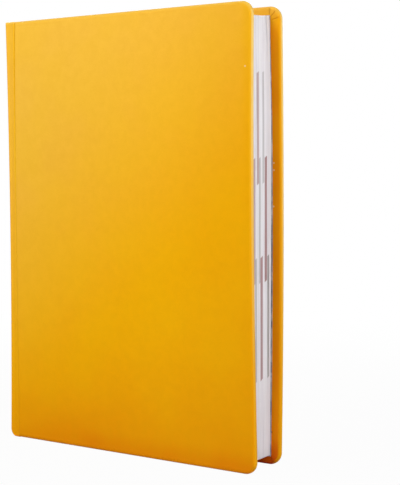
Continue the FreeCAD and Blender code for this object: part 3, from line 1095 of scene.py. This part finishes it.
def leaves_material():
    """Trimmed paper: every leaf's edge its own faint tone, painted shade towards the back leaves
    and the tail, and the printed index bars.
    """
    look = Look("leaves", False, specular=0.2)
    single = look.noise(0.16 * MM, 1, 0.5, stretch=(200, 1, 260))
    bundle = look.noise(0.9 * MM, 2, 0.5, stretch=(60, 1, 90))
    fibre = look.noise(0.3 * MM, 2, 0.6)
    colour = look.wash(srgb(226, 225, 229), srgb(247, 246, 249), single, 0.3, 0.7)
    colour = look.wash(colour, srgb(222, 216, 226), bundle, 0.35, 0.7, 0.0, 0.3)
    _, y, z = look.axes()
    # painted shade: the back leaves darker
    colour = look.wash(colour, srgb(199, 197, 202), y, 4.6 * MM, 8.5 * MM, 0.0, 0.42)
    # painted shade: darker and pinker towards the tail, with bounce light from the covers
    colour = look.wash(colour, srgb(218, 206, 208), z, 70 * MM, 10 * MM, 0.0, 0.35)
    colour = index_bars(look, colour, single)
    height = look.calc("ADD", single, look.times(fibre, 0.3))
    return look.finish(colour, look.remap(fibre, 0.3, 0.7, 0.7, 0.85), height, 0.05 * MM)


def greyboard_material():
    """Grey pulp board with darker and lighter fibres."""
    look = Look("greyboard", False, specular=0.2)
    fleck = look.noise(0.6 * MM, 4, 0.7, stretch=(1, 1, 2.5))
    pulp = look.noise(5 * MM, 3, 0.6)
    colour = look.wash(srgb(142, 137, 129), srgb(160, 155, 146), pulp, 0.3, 0.7)
    colour = look.wash(colour, srgb(104, 100, 95), fleck, 0.55, 0.72, 0.0, 0.6)
    colour = look.wash(colour, srgb(190, 186, 178), fleck, 0.40, 0.28, 0.0, 0.5)
    return look.finish(colour, look.remap(fleck, 0.3, 0.7, 0.8, 0.92), fleck, 0.06 * MM)


GAUZE = 3600.0  # radians a metre: a thread every 0.87 mm


def lining_material():
    """Open gauze glued down under paper: a faint square weave."""
    look = Look("lining", False, specular=0.2)
    _, y, z = look.axes()
    threads = [look.calc("ABSOLUTE", look.calc("SINE", look.times(across, GAUZE)))
               for across in (y, z)]
    weave = look.calc("MAXIMUM", *threads)
    fibre = look.noise(0.5 * MM, 3, 0.6)
    colour = look.blend(weave, srgb(196, 188, 170), srgb(228, 222, 208))
    colour = look.wash(colour, srgb(210, 200, 180), fibre, 0.4, 0.7, 0.0, 0.3)
    return look.finish(colour, look.remap(fibre, 0.3, 0.7, 0.75, 0.9), weave, 0.08 * MM)


def band_material():
    """Cotton thread, unbleached, with its strands."""
    look = Look("band", False, specular=0.25, sheen=0.3)
    strand = look.noise(0.09 * MM, 2, 0.6, stretch=(6, 1, 6))
    shade = look.noise(1.3 * MM, 2, 0.5)
    colour = look.wash(srgb(214, 204, 184), srgb(238, 231, 216), strand, 0.3, 0.7)
    colour = look.wash(colour, srgb(222, 210, 186), shade, 0.4, 0.7, 0.0, 0.3)
    return look.finish(colour, look.remap(strand, 0.3, 0.7, 0.7, 0.85), strand, 0.05 * MM)


# ---- the book ----

def repaint(node, material):
    """A CAD node keeps its shape and gets a better material."""
    for slot in frame["nodes"][node].material_slots:
        slot.material = material


def make_book():
    leatherette = leatherette_material()
    endpaper = endpaper_material()
    for side in (FRONT, BACK):
        case = make_case(side, leatherette)
        bend_with(case, side, "leatherette", HINGE_X - FOLD, HINGE_X,
                  side.name + "_leatherette", "spine_leatherette")
        pasted = make_pastedown(side, endpaper)
        bend_with(pasted, side, "endpaper", HINGE_X - FOLD, HINGE_X - 0.1 * MM,
                  side.name + "_pastedown")
        free = make_flyleaf(side, endpaper)
        ride_on(free, "book_block", "endpaper", side.name + "_flyleaf")
    ride_on(make_leaves(leaves_material()), "book_block", "leaves", "page_block")
    thread = band_material()
    for node, outward in (("headband", 1), ("tailband", -1)):
        ride_on(make_band(node + "_cord", node, outward, thread), "book_block", "band", node)
    greyboard = greyboard_material()
    for node in ("front_board", "back_board", "spine_inlay"):
        repaint(node, greyboard)
    repaint("spine_lining", lining_material())


# ---- camera, floor and light ----

CAMERA_TURN = 33.98  # degrees
CAMERA_DROP = 3.90  # degrees below level
CAMERA_ROLL = 0.20  # degrees
CAMERA_AIM = Vector((25.8, 17.4, 103.6)) * MM
CAMERA_DISTANCE = 598.1 * MM
CAMERA_LENS = 90  # mm
BOOK_CENTRE = Vector((0, 0, HEIGHT / 2))


def make_camera():
    camera = new_object("camera", bpy.data.cameras.new("camera"))
    camera.data.lens = CAMERA_LENS
    turn = (Matrix.Rotation(radians(CAMERA_TURN), 3, "Z")
            @ Matrix.Rotation(radians(-CAMERA_DROP), 3, "X")
            @ Matrix.Rotation(radians(CAMERA_ROLL), 3, "Y"))
    camera.location = CAMERA_AIM - turn.col[1] * CAMERA_DISTANCE
    level = Matrix.Rotation(radians(90), 3, "X")
    camera.rotation_euler = (turn @ level).to_euler()
    bpy.context.scene.camera = camera


def seen_or_lit(tree, seen, lit, share):
    """What the camera and mirrors see, mixed by a share over what lights the scene."""
    path = add_node(tree, "ShaderNodeLightPath").outputs
    rays = path["Is Camera Ray"]
    for other in ("Is Glossy Ray", "Is Transmission Ray"):
        rays = arithmetic(tree, "MAXIMUM", rays, path[other])
    part = arithmetic(tree, "MULTIPLY", rays, share)
    return add_node(tree, "ShaderNodeMixShader", {
        0: part, 1: lit.outputs[0], 2: seen.outputs[0]}).outputs[0]


FLOOR_HALF = 4.0
FLOOR_NEAR = 0.1  # from here to there the floor grows white
FLOOR_FAR = 0.55


def make_floor():
    """A pale floor that takes the shadow and is lost in the background further out."""
    mesh = bpy.data.meshes.new("floor")
    corners = [(x * FLOOR_HALF, y * FLOOR_HALF, 0) for x, y in ((-1, -1), (1, -1), (1, 1), (-1, 1))]
    mesh.from_pydata(corners, [], [(0, 1, 2, 3)])
    floor = new_object("floor", mesh)
    material = bpy.data.materials.new("floor")
    tree = empty_tree(material)
    seen = add_node(tree, "ShaderNodeEmission", {"Color": (1, 1, 1, 1)})
    lit = add_node(tree, "ShaderNodeBsdfDiffuse", {"Color": (0.3, 0.3, 0.3, 1)})
    place = add_node(tree, "ShaderNodeTexCoord").outputs["Object"]
    away = add_node(tree, "ShaderNodeVectorMath", {0: place}, operation="LENGTH").outputs["Value"]
    whiter = smooth_range(tree, away, FLOOR_NEAR, FLOOR_FAR, 0.97, 1.0)
    mixed = seen_or_lit(tree, seen, lit, whiter)
    add_node(tree, "ShaderNodeOutputMaterial", {"Surface": mixed})
    mesh.materials.append(material)


def make_world():
    world = bpy.data.worlds.new("studio")
    tree = empty_tree(world)
    seen = add_node(tree, "ShaderNodeBackground", {"Color": (1, 1, 1, 1)})
    lit = add_node(tree, "ShaderNodeBackground", {
        "Color": (0.96, 0.98, 1.0, 1), "Strength": 0.06})
    add_node(tree, "ShaderNodeOutputWorld", {"Surface": seen_or_lit(tree, seen, lit, 1.0)})
    bpy.context.scene.world = world


def make_lamp(name, place, aim, size, power, spread=180):
    """A square soft light. Its beam spreads over an angle in degrees round its aim."""
    data = bpy.data.lights.new(name, "AREA")
    data.size = size
    data.energy = power
    data.spread = radians(spread)
    lamp = new_object(name, data)
    lamp.location = place
    towards = Vector(aim) - Vector(place)
    lamp.rotation_euler = towards.to_track_quat("-Z", "Y").to_euler()


def make_studio():
    make_camera()
    make_floor()
    make_world()
    make_lamp("key", (-0.17, -0.42, 0.64), BOOK_CENTRE, 0.4, 3.76)
    make_lamp("side", (1.1, -0.45, 0.6), BOOK_CENTRE, 0.6, 8.8)
    make_lamp("edge", (1.0, 0.05, 0.5), BOOK_CENTRE, 0.5, 3.2)
    make_lamp("back", (-0.7, 1.1, 0.45), BOOK_CENTRE, 0.7, 14.5)
    make_lamp("low", (0.15, -0.55, 0.1), (0.0, 0.0, 0.0), 0.3, 0.28, spread=120)
    bpy.context.scene.view_settings.view_transform = "Standard"


make_book()
make_studio()
